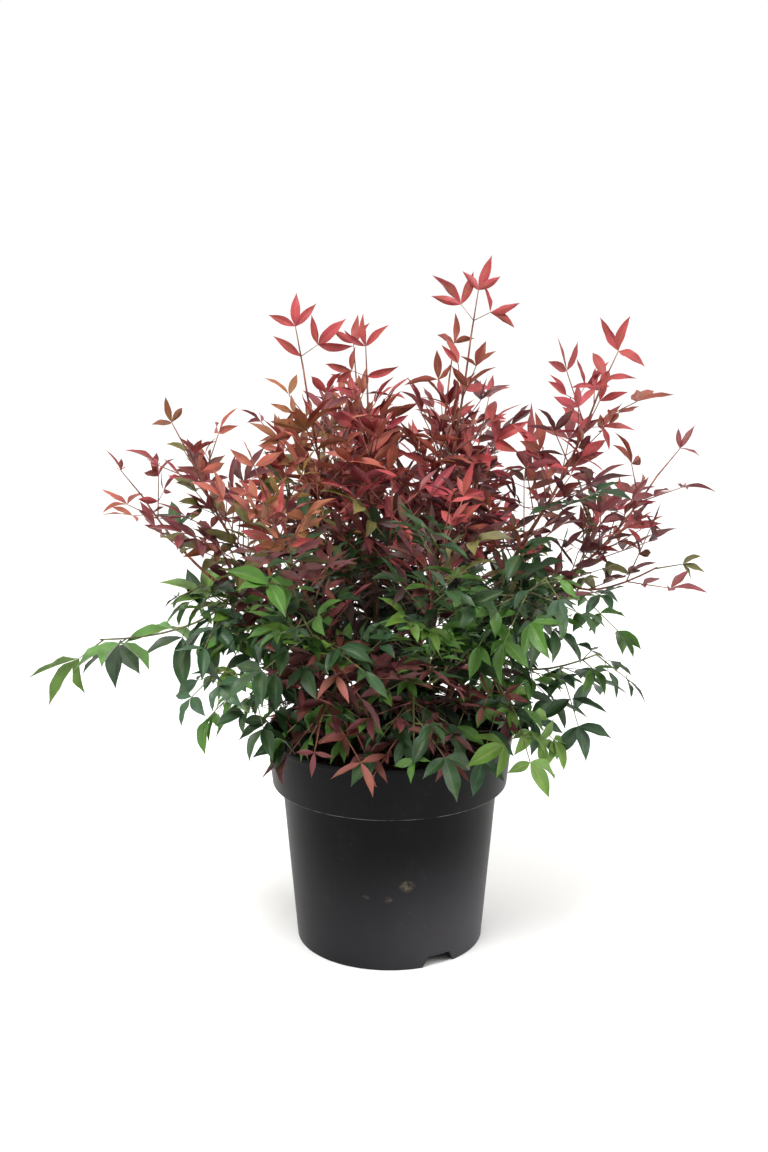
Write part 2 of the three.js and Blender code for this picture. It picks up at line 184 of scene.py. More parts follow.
degrees_down = 13.41
camera_data = bpy.data.cameras.new("camera")
camera_data.lens, camera_data.sensor_width = 52.84, 36
camera = bpy.data.objects.new("camera", camera_data)
bpy.context.collection.objects.link(camera)
camera.location = (-0.006, -1.7, 0.8)
camera.rotation_euler = (math.radians(90 - degrees_down), 0, 0)
bpy.context.scene.camera = camera
bpy.context.scene.view_settings.view_transform = "Standard"

# ---------------------------------------------------------------- the pot
# A nursery container, blow-moulded in one piece of recycled black plastic. The deep collar stands out over a
# tapering body, and two notches in the foot ring let out the water from six drain holes.

# From here on, lengths are in millimetres until a mesh is made.
METRE = 1000.0

_, pot_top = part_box("pot")
pot = Named(
    rim_radius=pot_top.x * METRE,
    height=pot_top.z * METRE,
    collar_height=56,
    collar_foot_radius=124,
    body_top_radius=114,
    body_foot_radius=99,
    wall=2.6,
    foot_rise=12,
    centre_pad_radius=48,
    foot_ring_width=5,
    notch_count=2,
    notch_azimuth=31,
    notch_width=38,
    notch_top_width=26,
    drain_count=6,
    drain_radius=6,
    edge=1.2,
)
pot.collar_foot = pot.height - pot.collar_height
pot.floor = pot.foot_rise + pot.wall


def body_radius_at(z):
    return pot.body_foot_radius + (pot.body_top_radius - pot.body_foot_radius) * z / pot.collar_foot


def pot_radius_at(z):
    """The pot's outer radius at a height, or at each of an array of heights."""
    collar = pot.collar_foot_radius + (pot.rim_radius - pot.collar_foot_radius) * (
        (z - pot.collar_foot) / pot.collar_height
    )
    return np.where(z < pot.collar_foot, body_radius_at(z), collar)


def rounded(outline, radius, steps=3):
    """The outline with each corner but the first and the last turned into a short curve."""
    points = np.array(outline, float)
    made = [points[0]]
    for before, corner, after in zip(points, points[1:], points[2:]):
        room = min(radius, *(np.linalg.norm(corner - other) / 2.5 for other in (before, after)))
        start, end = (
            corner + (other - corner) * room / np.linalg.norm(other - corner) for other in (before, after)
        )
        for t in np.linspace(0, 1, steps + 1):
            made.append((1 - t) ** 2 * start + 2 * t * (1 - t) * corner + t * t * end)
    return [*made, points[-1]]


def turned(outline, facets):
    """Points and faces of an outline of (radius, height) pairs, turned round the pot's axis."""
    rings = outline[1:-1]
    angles = np.arange(facets) * 2 * np.pi / facets
    points = [(r * np.sin(a), -r * np.cos(a), z) for r, z in rings for a in angles]
    faces = []
    for i in range(len(rings) - 1):
        for j in range(facets):
            k = (j + 1) % facets
            faces.append((i * facets + j, i * facets + k, (i + 1) * facets + k, (i + 1) * facets + j))
    low, high = len(points), len(points) + 1
    points += [(0, 0, z) for _, z in (outline[0], outline[-1])]
    last = (len(rings) - 1) * facets
    for j in range(facets):
        k = (j + 1) % facets
        faces += [(low, k, j), (high, last + j, last + k)]
    return points, faces


def piece(name, points, faces, material=None, smooth=True):
    """A new object of the plant, made of points in millimetres."""
    mesh = bpy.data.meshes.new(name)
    points = np.asarray(points, float) / METRE
    mesh.from_pydata(points.tolist(), [], faces.tolist() if isinstance(faces, np.ndarray) else faces)
    if smooth:
        mesh.shade_smooth()
    if material:
        mesh.materials.append(material)
    made = bpy.data.objects.new(name, mesh)
    bpy.context.collection.objects.link(made)
    return made


def prism(name, face, far_face):
    """A solid between two faces with the same number of corners. They run clockwise as seen from outside."""
    n = len(face)
    ends = [tuple(range(n)), tuple(range(n, 2 * n))[::-1]]
    sides = [(i, n + i, n + (i + 1) % n, (i + 1) % n) for i in range(n)]
    return piece(name, [*face, *far_face], ends + sides, smooth=False)


def cut(solid, cutter):
    """Cuts the cutter out of the solid, and removes the cutter."""
    modifier = solid.modifiers.new("cut", "BOOLEAN")
    modifier.operation, modifier.object, modifier.solver = "DIFFERENCE", cutter, "EXACT"
    settle(solid)
    bpy.data.objects.remove(cutter)


def settle(solid):
    """Puts the result of a piece's modifiers into its mesh."""
    graph = bpy.context.evaluated_depsgraph_get()
    mesh = bpy.data.meshes.new_from_object(solid.evaluated_get(graph))
    solid.modifiers.clear()
    solid.data = mesh


def level(azimuth, radius, aside, z):
    """A point at a radius in the direction of an azimuth, then aside from it, at a height."""
    a = math.radians(azimuth)
    return (
        radius * math.sin(a) + aside * math.cos(a),
        -radius * math.cos(a) + aside * math.sin(a),
        z,
    )


shoulder_foot, shoulder_top = pot.collar_foot + pot.wall - 1, pot.collar_foot + pot.wall + 1
pot_outline = rounded(
    [
        (0, 0),
        (pot.centre_pad_radius, 0),
        (pot.centre_pad_radius, pot.foot_rise),
        (pot.body_foot_radius - pot.foot_ring_width, pot.foot_rise),
        (pot.body_foot_radius - pot.foot_ring_width, 0),
        (pot.body_foot_radius, 0),
        (pot.body_top_radius - 0.4, pot.collar_foot - 3),
        (pot.body_top_radius, pot.collar_foot),
        (pot.collar_foot_radius, pot.collar_foot),
        (pot.rim_radius - 0.6, pot.height - 7),
        (pot.rim_radius, pot.height - 5),
        (pot.rim_radius, pot.height),
        (pot.rim_radius - pot.wall, pot.height),
        (pot.collar_foot_radius - pot.wall, shoulder_top),
        (pot.body_top_radius - pot.wall, shoulder_foot),
        (body_radius_at(pot.floor) - pot.wall, pot.floor),
        (0, pot.floor),
    ],
    pot.edge,
)
pot_piece = piece("nursery_pot", *turned(pot_outline, 180))
foot_half, top_half, notch_top = pot.notch_width / 2 + 1, pot.notch_top_width / 2, pot.foot_rise - 0.02
notch = [(-foot_half, -2), (foot_half, -2), (top_half, notch_top), (-top_half, notch_top)]
near, far = pot.body_foot_radius + 8, pot.body_foot_radius - pot.foot_ring_width - 4
for i in range(pot.notch_count):
    turn = pot.notch_azimuth + 360 / pot.notch_count * i
    cut(
        pot_piece,
        prism(
            "notch",
            [level(turn, near, x, z) for x, z in notch],
            [level(turn, far, x, z) for x, z in notch],
        ),
    )
drain_circle = (pot.centre_pad_radius + pot.body_foot_radius) / 2
angles = np.arange(16) * math.pi / 8
drain = [(pot.drain_radius * math.cos(a), pot.drain_radius * math.sin(a)) for a in angles]
for i in range(pot.drain_count):
    turn = pot.notch_azimuth + 360 / pot.drain_count * i
    cut(
        pot_piece,
        prism(
            "drain",
            [level(turn, drain_circle + y, x, pot.foot_rise - 2) for x, y in drain],
            [level(turn, drain_circle + y, x, pot.floor + 2) for x, y in drain],
        ),
    )
pot_piece.data.shade_smooth()
pot_piece.data.set_sharp_from_angle(angle=math.radians(35))


class Finish(Nodes):
    """A material of the plant or its pot. Its patterns are laid out in the plant's own space, in metres."""

    def __init__(self, name):
        self.material = bpy.data.materials.new(name)
        super().__init__(self.material)
        self.place = self.node("ShaderNodeTexCoord", {}, {}, "Object")

    def axis(self, name):
        return self.node("ShaderNodeSeparateXYZ", {}, {"Vector": self.place}, name)

    def noise(self, grain, detail=2.0, stretch=(1, 1, 1)):
        """Soft random values from 0 to 1, with spots about as wide as grain, in millimetres."""
        scale = tuple(METRE / grain / s for s in stretch)
        moved = self.node("ShaderNodeMapping", {}, {"Vector": self.place, "Scale": scale})
        return self.node("ShaderNodeTexNoise", {}, {"Vector": moved, "Scale": 1.0, "Detail": detail}, "Fac")

    def bump(self, height, depth):
        """Relief from a height of 0 to 1 that is depth millimetres deep."""
        return self.node("ShaderNodeBump", {}, {"Height": height, "Distance": depth / METRE}, "Normal")

    def cover(self, colour, roughness, normal=None, **fixed):
        """The surface, with what is fixed all over it set on the shader itself."""
        inputs = {"Base Color": colour, "Roughness": roughness}
        if normal:
            inputs["Normal"] = normal
        inputs.update({key.replace("_", " "): value for key, value in fixed.items()})
        surface = self.node("ShaderNodeBsdfPrincipled", {}, inputs)
        self.node("ShaderNodeOutputMaterial", {}, {"Surface": surface})
        return self.material


# Each dab of mud: how far it is to the right, its height, half its width and height, and its strength.
mud_dabs = [(17.5, 96, 9.5, 8, 0.38), (-1.5, 82, 6, 4.5, 0.28), (-25, 83, 5, 3.5, 0.15)]


def pot_plastic():
    finish = Finish("pot_plastic")
    z = finish.axis("Z")
    # Fine drawn streaks run down the wall, with grey scuffs across them.
    streaks = finish.noise(2.2, 4, (1, 1, 60))
    clouds = finish.noise(38, 5, (1, 1, 1.6))
    scuffs = finish.noise(1.3, 6, (6, 6, 1)).between(0.64, 0.74) * clouds.between(0.5, 0.62)
    # Faint dust lies in patches over the pot, the collar too. The collar's foot edge is painted pale:
    # partly wear, partly a painted highlight along that rounded edge.
    dust = clouds.between(0.42, 0.75) * 0.5 + finish.noise(0.9, 2).between(0.66, 0.8) * 0.5
    collar_edge = (z - pot.collar_foot / METRE).distance().between(0.0013, 0.0004)
    worn_and_highlit_edge = collar_edge * finish.noise(14, 4).between(0.32, 0.62)
    # Dabs of dried mud sit low on the front.
    front = finish.axis("Y").between(-0.05, -0.09)
    mud = 0
    for at_x, at_z, wide, high, strength in mud_dabs:
        off_x = (finish.axis("X") - at_x / METRE) / (wide / METRE)
        off_z = (z - at_z / METRE) / (high / METRE)
        mud = mud + (off_x.distance() ** 2 + off_z.distance() ** 2).between(1.0, 0.0) * strength
    mud = mud * front * finish.noise(5.0, 5).between(0.34, 0.66)
    # Painted reflection: the body is painted paler low down, most of all on the right, for the white floor
    # and the right-hand light that it would reflect.
    painted_floor_reflection = z.between(0.15, 0.015) * (0.35 + 0.65 * finish.axis("X").between(-0.06, 0.1))
    plastic = finish.mix(streaks.between(0.3, 0.7), paint(3, 3, 4), paint(6, 6, 8))
    # The faint dust and the painted reflection both mix towards the same bluish grey.
    plastic = finish.mix(dust * 0.03 + painted_floor_reflection * 0.32, plastic, paint(102, 100, 106))
    plastic = finish.mix(scuffs * 0.15, plastic, paint(120, 118, 116))
    # Painted highlight and wear: the collar's foot edge is mixed towards pale grey.
    plastic = finish.mix(worn_and_highlit_edge * 0.6, plastic, paint(120, 118, 118))
    plastic = finish.mix(mud, plastic, paint(124, 112, 92))
    roughness = 0.36 + 0.1 * clouds + 0.25 * mud
    relief = finish.bump(streaks * 0.5 + finish.noise(0.8, 2) * 0.5, 0.05)
    return finish.cover(plastic, roughness, relief, Specular_IOR_Level=0.08)


pot_piece.data.materials.append(pot_plastic())
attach(pot_piece, "root")
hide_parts("pot")

# ---------------------------------------------------------------- the compost
# A loose potting mix of peat and shredded bark, firmed in by hand round the root ball. It is level round the
# canes and sinks a little towards the wall. Coarse shreds of bark lie on it.

_, compost_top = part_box("compost")
compost = Named(top=compost_top.z * METRE, level_radius=76, edge_fall=4, clearance=0.4)


def seeded(seed):
    """One repeatable run of numbers from 0 to 1 for each seed."""
    state = (seed * 2654435761) % 2**32

    def draw():
        nonlocal state
        state = (state * 1664525 + 1013904223) % 2**32
        return state / 2**32

    return draw


def compost_height(radius, azimuth):
    """The crumbly top: two sets of waves stand for lumps, over the fall towards the wall."""
    edge = pot_radius_at(np.array(compost.top)) - pot.wall
    fall = compost.edge_fall * np.clip((radius - compost.level_radius) / (edge - compost.level_radius), 0, 1)
    x, y = radius * np.sin(azimuth), radius * np.cos(azimuth)
    lumps = np.sin(x / 5.3 + 2 * np.sin(y / 9.1)) * np.sin(y / 6.1 + 2 * np.sin(x / 7.7))
    crumbs = np.sin(x / 1.7 + 3 * np.sin(y / 2.3)) * np.sin(y / 1.9 + 3 * np.sin(x / 2.9))
    return compost.top - 1 - fall + 1.1 * lumps + 0.7 * crumbs


def compost_mesh(rings=46, facets=150):
    inset = pot.wall + compost.clearance
    edge = float(pot_radius_at(np.array(compost.top - compost.edge_fall))) - inset
    side = [
        (0, pot.floor + compost.clearance),
        (body_radius_at(pot.floor) - inset, pot.floor + compost.clearance),
        (pot.body_top_radius - inset, shoulder_foot),
        (pot.collar_foot_radius - inset, shoulder_top + compost.clearance),
    ]
    top = [(edge * (1 - i / rings), compost.top) for i in range(rings)]
    points, faces = turned([*side, *top, (0, compost.top)], facets)
    points = np.array(points)
    radius = np.hypot(points[:, 0], points[:, 1])
    on_top = points[:, 2] > compost.top - 1
    azimuth = np.arctan2(points[:, 0], points[:, 1])
    points[on_top, 2] = compost_height(radius[on_top], azimuth[on_top])
    return points, faces


def compost_finish(name, dark, pale):
    finish = Finish(name)
    crumbs = finish.noise(3.2, 6)
    fibres = finish.noise(1.1, 3, (5, 1, 1))
    colour = finish.mix(crumbs.between(0.35, 0.68), dark, pale)
    relief = finish.bump(crumbs * 0.7 + fibres * 0.3, 1.4)
    return finish.cover(colour, 0.86 + 0.1 * fibres, relief, Specular_IOR_Level=0.2)


peat = compost_finish("compost", paint(20, 13, 9), paint(62, 43, 31))
compost_piece = piece("compost_bed", *compost_mesh(), peat)
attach(compost_piece, "root")
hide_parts("compost")


def bark_shreds(name, count, seed, dark, pale):
    """Flat, torn chips of bark, each a six-sided slab with uneven edges, scattered over the compost."""
    draw = seeded(seed)
    points, faces = [], []
    for _ in range(count):
        radius, azimuth = 122 * math.sqrt(draw()), 2 * math.pi * draw()
        length, width, thick = 3 + 8 * draw() ** 2, 1.6 + 2.4 * draw(), 0.6 + 1.1 * draw()
        turn, tilt = 2 * math.pi * draw(), 0.7 * (draw() - 0.5)
        centre = np.array([radius * math.sin(azimuth), radius * math.cos(azimuth), 0])
        centre[2] = compost_height(radius, azimuth) + thick * 0.3 + length * abs(tilt) * 0.3
        along = np.array([math.cos(turn) * math.cos(tilt), math.sin(turn) * math.cos(tilt), math.sin(tilt)])
        aside = np.array([-math.sin(turn), math.cos(turn), 0.5 * (draw() - 0.5)])
        first = len(points)
        ring = [(-1, -0.3), (-0.4, -0.9), (0.6, -0.7), (1, 0.1), (0.5, 0.9), (-0.6, 0.7)]
        jagged = [(x * (0.8 + 0.4 * draw()), y * (0.7 + 0.6 * draw())) for x, y in ring]
        for lift in (-0.5, 0.5):
            for x, y in jagged:
                points.append(centre + along * x * length / 2 + aside * y * width / 2 + [0, 0, lift * thick])
        sides = [(first + i, first + (i + 1) % 6, first + 6 + (i + 1) % 6, first + 6 + i) for i in range(6)]
        faces += [tuple(first + i for i in range(5, -1, -1)), tuple(first + 6 + i for i in range(6)), *sides]
    made = piece(name, points, faces, compost_finish(name, dark, pale), smooth=False)
    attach(made, "root")


bark_shreds("bark_shreds_dark", 620, 71, paint(44, 27, 19), paint(92, 60, 42))
bark_shreds("bark_shreds_pale", 220, 72, paint(86, 56, 38), paint(140, 100, 70))

# ---------------------------------------------------------------- how the plant is laid out
# Thirteen canes rise from the root ball, and forty-three masses of foliage go on from them in six tiers. The
# places, the habits and the seeded rule are those of the solids, so every limb here is where its solid is.

gap = 0.3
cane = Named(root_radius=3.8, end_radius=1.9, share=0.56, arch=0.13)
stem = Named(share=0.66, last_bud=0.98)

# How the pinnae of a mass grow. Stations are shares of the stem's length. Fall and cup are slopes, and sag
# is a share of the pinna's length. The rest is finer growth: the stations between the others, each with the
# size of its pinnae, the slope by which these rise more, the length of a blade, the way from one node of a
# rachis to the next, the share of the blades that branch again, and the most that a last blade takes of the
# end of its mass.
leading = Named(
    stations=[0.6], rachis=30, leaflet=46, spread=48, open=42, twist=70, arch=0, fall=-0.2, sag=0, cup=0.15,
    between={0.06: 1.4, 0.2: 1.3, 0.36: 1.2, 0.48: 1.0, 0.8: 0.6}, lift=0.2, blade=39, spacing=30,
    branching=0.25, last_blade=0.45,
)
rising = Named(
    stations=[0.36, 0.76], rachis=34, leaflet=52, spread=46, open=46, twist=70, arch=0, fall=-0.2, sag=0,
    cup=0.15, between={0.04: 1.3, 0.14: 1.2, 0.24: 1.1, 0.5: 1.0, 0.64: 0.9, 0.9: 0.5}, lift=0.25, blade=39,
    spacing=29, branching=0.3, last_blade=0.45,
)
filling = Named(
    stations=[0.25, 0.66], rachis=34, leaflet=72, spread=58, open=56, twist=40, arch=0.1, fall=-0.5, sag=0,
    cup=0.1, between={0.08: 0.9, 0.46: 0.85, 0.86: 0.6}, lift=0.1, blade=40, spacing=27, branching=0.45,
    last_blade=0.45,
)
hanging = Named(
    stations=[0.3, 0.7], rachis=32, leaflet=70, spread=62, open=56, twist=15, arch=0.2, fall=0.8, sag=0.1,
    cup=-0.1, between={0.12: 0.85, 0.42: 0.75, 0.56: 0.7, 0.88: 0.5}, lift=0.6, blade=41, spacing=29,
    branching=0.45, last_blade=0.45,
)
reaching = Named(
    stations=[0.45, 0.85], rachis=26, leaflet=52, spread=60, open=50, twist=15, arch=0.1, fall=0.3, sag=0.05,
    cup=-0.1, between={0.12: 0.9, 0.26: 0.9}, lift=0.6, blade=64, spacing=44, branching=0.1, last_blade=0.65,
)
tiers = [
    Named(name="top", count=5, azimuth=62, reach=90, height=640, foot_radius=17, habit=leading),
    Named(name="shoulder", count=8, azimuth=12, reach=240, height=560, foot_radius=46, habit=rising),
    Named(name="heart", count=7, azimuth=0, reach=140, height=550, on="top", share=0.66, habit=filling),
    Named(name="waist", count=7, azimuth=34, reach=235, height=410, on="shoulder", share=0.7, habit=hanging),
    Named(
        name="belly", count=8, azimuth=34, reach=170, height=380, on="shoulder", share=0.45, habit=filling,
    ),
    Named(name="skirt", count=8, azimuth=8, reach=222, height=275, on="shoulder", share=0.4, habit=hanging),
]
# The sprays that stand out of the crown. A roll, in degrees, turns all the pinnae of a mass about its stem,
# and a facing turns only the last leaflets further to the light. Beyond the share where it is bare a stem
# bears no finer growth.
leaders = {
    "top_1": dict(azimuth=75, reach=95, height=724, roll=80, bare=0.4),
    "top_4": dict(azimuth=284, reach=102, height=686, roll=75, bare=0.5),
    "top_5": dict(azimuth=330, reach=50, height=667),
    "shoulder_2": dict(azimuth=62, reach=256, height=670, roll=60),
    "shoulder_3": dict(azimuth=94, reach=318, height=548, roll=50, bare=0.6),
    "shoulder_6": dict(azimuth=258, reach=308, height=516, roll=40, bare=0),
    "shoulder_7": dict(azimuth=290, reach=238, height=592, roll=40),
    "waist_2": dict(azimuth=80, reach=320, height=424, share=0.9, habit=rising, roll=30, bare=0.1),
    "waist_6": dict(azimuth=280, reach=236, height=374),
    "skirt_1": dict(azimuth=8, reach=166, height=228),
    "skirt_2": dict(azimuth=46, reach=206, height=202),
    "skirt_3": dict(azimuth=82, reach=272, height=274),
    "skirt_6": dict(azimuth=269, reach=376, height=266, share=0.8, habit=reaching, facing=50),
    "skirt_7": dict(azimuth=300, reach=250, height=280),
    "skirt_8": dict(azimuth=333, reach=172, height=230),
}

UP = np.array([0.0, 0.0, 1.0])


def varied(draw, middle, extent):
    return middle + extent * (draw() - 0.5)


def outward(azimuth, reach, height):
    return np.array(level(azimuth, reach, 0, height), float)


def unit(vector):
    return vector / np.linalg.norm(vector)


def rotated(vector, axis, degrees):
    a = math.radians(degrees)
    along = axis * axis.dot(vector)
    return along + (vector - along) * math.cos(a) + np.cross(axis, vector) * math.sin(a)


def across(direction, out):
    """The level direction across a heading, or for a steep one the direction across the way out."""
    steepest = 0.92
    return unit(np.cross(out if abs(direction[2]) > steepest else UP, direction))


class Bow:
    """A curve that leaves start towards middle and arrives at end."""

    def __init__(self, start, middle, end):
        self.start, self.middle, self.end = start, middle, end

    def at(self, t):
        return (1 - t) ** 2 * self.start + 2 * t * (1 - t) * self.middle + t * t * self.end

    def heading(self, t):
        return unit((self.middle - self.start) * (1 - t) + (self.end - self.middle) * t)


def grow_cane(mass):
    foot = outward(mass.azimuth, mass.tier.foot_radius, compost.top + gap)
    end = foot + (mass.tip - foot) * cane.share
    middle = (foot + end) / 2
    middle[2] += cane.arch * np.linalg.norm(end - foot)
    return Bow(foot, middle, end)


def cane_radius_at(t):
    return cane.root_radius + (cane.end_radius - cane.root_radius) * t


def grow_stem(mass, bearers):
    """A mass goes on from its own cane's tip, or leaves the side of the nearest cane of its bearing tier."""
    if mass.cane:
        first = mass.cane.heading(1)
        start = mass.cane.end + gap * first
    else:
        carriers = [other for other in bearers if other.tier.name == mass.tier.on]
        nearest = min(carriers, key=lambda other: abs((other.azimuth - mass.azimuth + 540) % 360 - 180)).cane
        t = varied(mass.draw, mass.share, 0.1)
        upward = nearest.heading(t)
        first = mass.tip - nearest.at(t)
        first = unit(first - upward * upward.dot(first))
        start = nearest.at(t) + first * (cane_radius_at(t) + gap)
    end = start + (mass.tip - start) * stem.share
    end[2] += mass.habit.arch * np.linalg.norm(mass.tip - start)
    return Bow(start, start + first * 0.4 * np.linalg.norm(end - start), end)


masses = []
for rank, tier in enumerate(tiers):
    for i in range(tier.count):
        mass = Named(name=f"{tier.name}_{i + 1}", tier=tier, draw=seeded(100 * (rank + 1) + i))
        mass.share, mass.habit, mass.roll = getattr(tier, "share", None), tier.habit, 0
        mass.bare, mass.facing = 1, 0
        mass.azimuth = tier.azimuth + 360 / tier.count * varied(mass.draw, i, 0.3)
        mass.reach = tier.reach * varied(mass.draw, 1, 0.2)
        mass.height = varied(mass.draw, tier.height, 50)
        vars(mass).update(leaders.get(mass.name, {}))
        mass.tip, mass.out = outward(mass.azimuth, mass.reach, mass.height), outward(mass.azimuth, 1, 0)
        masses.append(mass)
for mass in masses:
    mass.cane = grow_cane(mass) if hasattr(mass.tier, "foot_radius") else None
bearers = [mass for mass in masses if mass.cane]
for mass in masses:
    mass.stem = grow_stem(mass, bearers)

# ---------------------------------------------------------------- the canes
# Unbranched woody canes, each about as thick as a pencil at the foot. The bark is grey-brown and ridged, and
# the sheaths of old leaf stalks wrap it in overlapping cuffs up to where the foliage starts.


def rings_along(centres, radii, sides):
    """Rings of points round a run of centres, and the faces between them, closed at both ends."""
    centres = np.asarray(centres, float)
    headings = np.gradient(centres, axis=0)
    headings /= np.linalg.norm(headings, axis=1)[:, None]
    side = across(headings[0], np.array([1.0, 0, 0]))
    angles = np.arange(sides) * 2 * np.pi / sides
    rings = []
    for centre, heading, radius in zip(centres, headings, radii):
        side = unit(side - heading * side.dot(heading))
        other = np.cross(heading, side)
        radius = np.broadcast_to(radius, sides)[:, None]
        rings.append(centre + radius * (np.cos(angles)[:, None] * side + np.sin(angles)[:, None] * other))
    faces = []
    for i in range(len(rings) - 1):
        for j in range(sides):
            k = (j + 1) % sides
            faces.append((i * sides + j, i * sides + k, (i + 1) * sides + k, (i + 1) * sides + j))
    faces.append(tuple(range(sides))[::-1])
    faces.append(tuple(range((len(rings) - 1) * sides, len(rings) * sides)))
    return np.concatenate(rings), faces


class Bundle:
    """Many small limbs or chips that are joined into one mesh."""

    def __init__(self):
        self.points, self.faces, self.count = [], [], 0

    def add(self, points, faces):
        self.points.append(points)
        self.faces += [tuple(self.count + i for i in face) for face in faces]
        self.count += len(points)


def cane_limb(curve, seed, sides=14, rings=90):
    draw = seeded(seed)
    phase, cuff = 6.28 * draw(), 17 + 6 * draw()
    t = np.linspace(0, 1, rings)
    centres = np.array([curve.at(x) for x in t])
    length = np.linalg.norm(curve.end - curve.start)
    angles = np.arange(sides) * 2 * np.pi / sides
    radii = []
    for share in t:
        run = share * length
        sheath = (1 - (run / cuff + phase) % 1) ** 3 * max(0, 1 - 1.1 * share)
        turn = math.floor(run / cuff + phase) * 2.4
        ridge = 0.05 * np.cos(3 * angles + phase + run / 40) + 0.04 * np.cos(7 * angles - run / 23)
        lap = 0.2 * sheath * (1 + 0.5 * np.cos(angles - turn))
        foot = 0.35 * math.exp(-run / 7)
        radii.append(cane_radius_at(share) * (0.95 + ridge + lap + foot))
    return rings_along(centres, radii, sides)


def bark():
    finish = Finish("cane_bark")
    grain = finish.noise(1.5, 5, (1, 1, 12))
    patches = finish.noise(16, 4)
    z = finish.axis("Z")
    colour = finish.mix(grain.between(0.35, 0.65), paint(62, 42, 32), paint(128, 98, 76))
    colour = finish.mix(patches.between(0.45, 0.7) * 0.5, colour, paint(96, 88, 66))
    colour = finish.mix(z.between(0.36, 0.5) * 0.6, colour, paint(104, 48, 40))
    relief = finish.bump(grain, 0.5)
    return finish.cover(colour, 0.7 + 0.2 * grain, relief, Specular_IOR_Level=0.3)


canes = Bundle()
for i, mass in enumerate(bearers):
    canes.add(*cane_limb(mass.cane, 501 + i))
cane_piece = piece("canes", np.concatenate(canes.points), canes.faces, bark())
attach(cane_piece, "root")
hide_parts(*[f"cane_{i + 1:02d}" for i in range(len(bearers))])

# ---------------------------------------------------------------- how twigs and leaflets grow
# Every leaf of the plant is a divided spray: a wiry stalk bears pinnae in facing pairs, and a pinna bears
# leaflets, or sprigs of three, in facing pairs and at its end. Each pinna is dealt one tint: red where it is
# young, bronze and green where it is older, and the darkest tints inside the foliage as painted shade.

twigs = {"red": Bundle(), "green": Bundle()}
red_stems_above = 420
leaves = []
tint_weights = Named(
    red=dict(crimson=0.28, brick=0.3, burgundy=0.22, wine=0.1, rose=0.1),
    copper=dict(copper=0.34, ochre=0.14, brick=0.26, burgundy=0.16, olive=0.1),
    inner=dict(wine=0.34, burgundy=0.36, crimson=0.2, rose=0.1),
    turning=dict(burgundy=0.2, wine=0.24, umber=0.12, ivy=0.26, olive=0.18),
    green=dict(ivy=0.44, spruce=0.28, fern=0.24, lime=0.04),
    fresh=dict(lime=0.15, fern=0.5, ivy=0.35),
    dusty=dict(salmon=0.2, maroon=0.45, plum=0.35),
    # Painted shade: the darkest tints, dealt near the axis for the shade inside the foliage.
    shaded=dict(moss=0.6, umber=0.4),
)

# The young red leaflets are slender, and the older green ones broader and more level. Opening widens the
# angle between a leaflet and its rachis. Curl is how far a blade arches back, and how much that varies.
young = Named(droop=-0.05, levelling=0.2, width=0.27, curl=(0.225, 0.9), opening=1.45, twig="red")
older = Named(droop=0.12, levelling=0.6, width=0.37, curl=(0.4, 0.6), opening=1.2, twig="green")
greens = {"olive", "moss", "ivy", "spruce", "fern", "lime"}


def age_of(tint):
    return older if tint in greens else young


def chosen(weights, draw):
    pick, total = draw() * sum(weights.values()), 0
    for name, weight in weights.items():
        total += weight
        if pick <= total:
            return name
    return name


# Red gives way to green at the border, which is lower towards the back, over a band of turning sprays. Other
# zones have bounds in height, in distance to the right of the pot's axis, and in radius.
zones = Named(
    border=404, border_slope=-0.2, border_extent=70, band_above=50, band_below=15,
    copper_left=-290, copper_right=-60, copper_top=600, inner_top=520, core=110, shade_foot=240,
    dusty_front=-60, dusty_top=345, low_right=40, low_top=245, fresh_left=-80, fresh_foot=330,
)
# The share of the sprays in a zone that take its tints.
shares = Named(
    copper=0.6, inner=0.4, dusty=0.5, dusty_low_right=0.1, shaded=0.85, fresh_left=0.45, fresh=0.25,
    stray_dusty=0.06,
)


def tint_at(point, draw):
    """A spray's tint: red at top and outside, turning at the waist, below green, dusty red and painted
    shade.
    """
    x, y, z = point
    radius = math.hypot(x, y)
    border = varied(draw, zones.border + zones.border_slope * y, zones.border_extent)
    if z > border + zones.band_above:
        on_left = zones.copper_left < x < zones.copper_right
        if on_left and z < zones.copper_top and draw() < shares.copper:
            return chosen(tint_weights.copper, draw)
        if z < zones.inner_top and (radius < zones.core or x > zones.copper_right and draw() < shares.inner):
            return chosen(tint_weights.inner, draw)
        return chosen(tint_weights.red, draw)
    if z > border - zones.band_below:
        return chosen(tint_weights.turning, draw)
    low_right = x > zones.low_right and z < zones.low_top
    share = shares.dusty_low_right if low_right else shares.dusty
    if abs(x) < zones.core and y < zones.dusty_front and z < zones.dusty_top and draw() < share:
        return chosen(tint_weights.dusty, draw)
    # Painted shade: near the axis above the shade foot, most sprays take the darkest tints, for the shade
    # inside.
    if radius < zones.core and z > zones.shade_foot and draw() < shares.shaded:
        return chosen(tint_weights.shaded, draw)
    on_left = x < zones.fresh_left
    share = shares.fresh_left if on_left else shares.fresh
    if (on_left or z > zones.fresh_foot or low_right) and draw() < share:
        return chosen(tint_weights.fresh, draw)
    if x > -zones.core and draw() < shares.stray_dusty:
        return chosen(tint_weights.dusty, draw)
    return chosen(tint_weights.green, draw)


def aside(draw, extent):
    """A random vector to turn a direction aside by."""
    return extent * np.array([draw() - 0.5, draw() - 0.5, draw() - 0.5])


